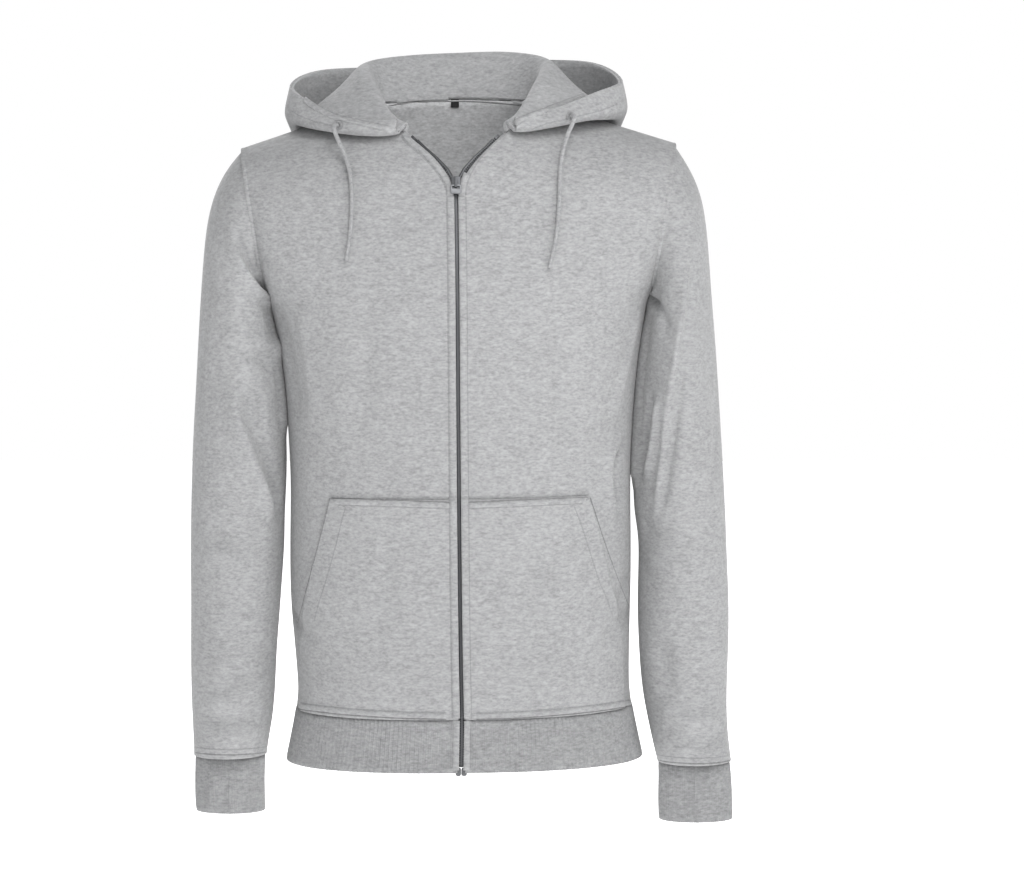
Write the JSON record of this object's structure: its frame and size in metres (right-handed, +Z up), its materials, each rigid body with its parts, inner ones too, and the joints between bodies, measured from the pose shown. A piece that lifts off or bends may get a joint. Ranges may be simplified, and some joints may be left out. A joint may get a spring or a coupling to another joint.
{
  "type": "zip up hoodie",
  "caption": "Grey heather zip up hoodie, worn shape with no wearer, hood down, kangaroo pocket, ribbed hem and cuffs, drawcord ends hanging.",
  "frame": {"origin": "midway between the shoulder tips' line and the neck, on the line of the shoulders where the wearer holds the garment up", "axes": "+Z up, -Y out of the garment's front, +X to the picture's right"},
  "size_m": [0.5693, 0.2983, 0.8135],
  "materials": {
    "fleece": "heather grey brushed cotton fleece",
    "lining": "heather grey cotton jersey",
    "rib": "heather grey cotton rib knit",
    "tape": "woven polyester tape",
    "metal": "painted zinc and brass zip parts",
    "label": "plain dark woven tape",
    "thread": "braided cotton cord and embroidery thread"
  },
  "bodies": {
    "garment": {"front_left": "fleece", "front_right": "fleece", "back": "fleece", "sleeve_left": "fleece", "sleeve_right": "fleece", "cuff_left": "rib", "cuff_right": "rib", "hem_rib": "rib", "pocket_left": "fleece", "pocket_right": "fleece", "hood_side_left": "fleece", "hood_centre": "fleece", "hood_side_right": "fleece", "hood_lining": "lining", "neck_tape": "tape", "neck_tag": "label", "zip_teeth_left": "metal", "zip_teeth_right": "metal", "zip_tape_left": "tape", "zip_tape_right": "tape", "zip_stop_left": "metal", "zip_stop_right": "metal", "zip_pin": "metal", "zip_box": "metal", "zip_slider": "metal", "eyelet_left": "thread", "eyelet_right": "thread", "drawcord_left": "thread", "drawcord_right": "thread"},
    "pull": {"zip_pull": "metal"}
  },
  "joints": [
    {"name": "zip_pull_swing", "type": "hinge", "parent": "garment", "child": "pull", "pos_m": [-0.0032, -0.11114, -0.08837], "axis": [-1, 0, 0], "range_deg": [0, 120]}
  ]
}
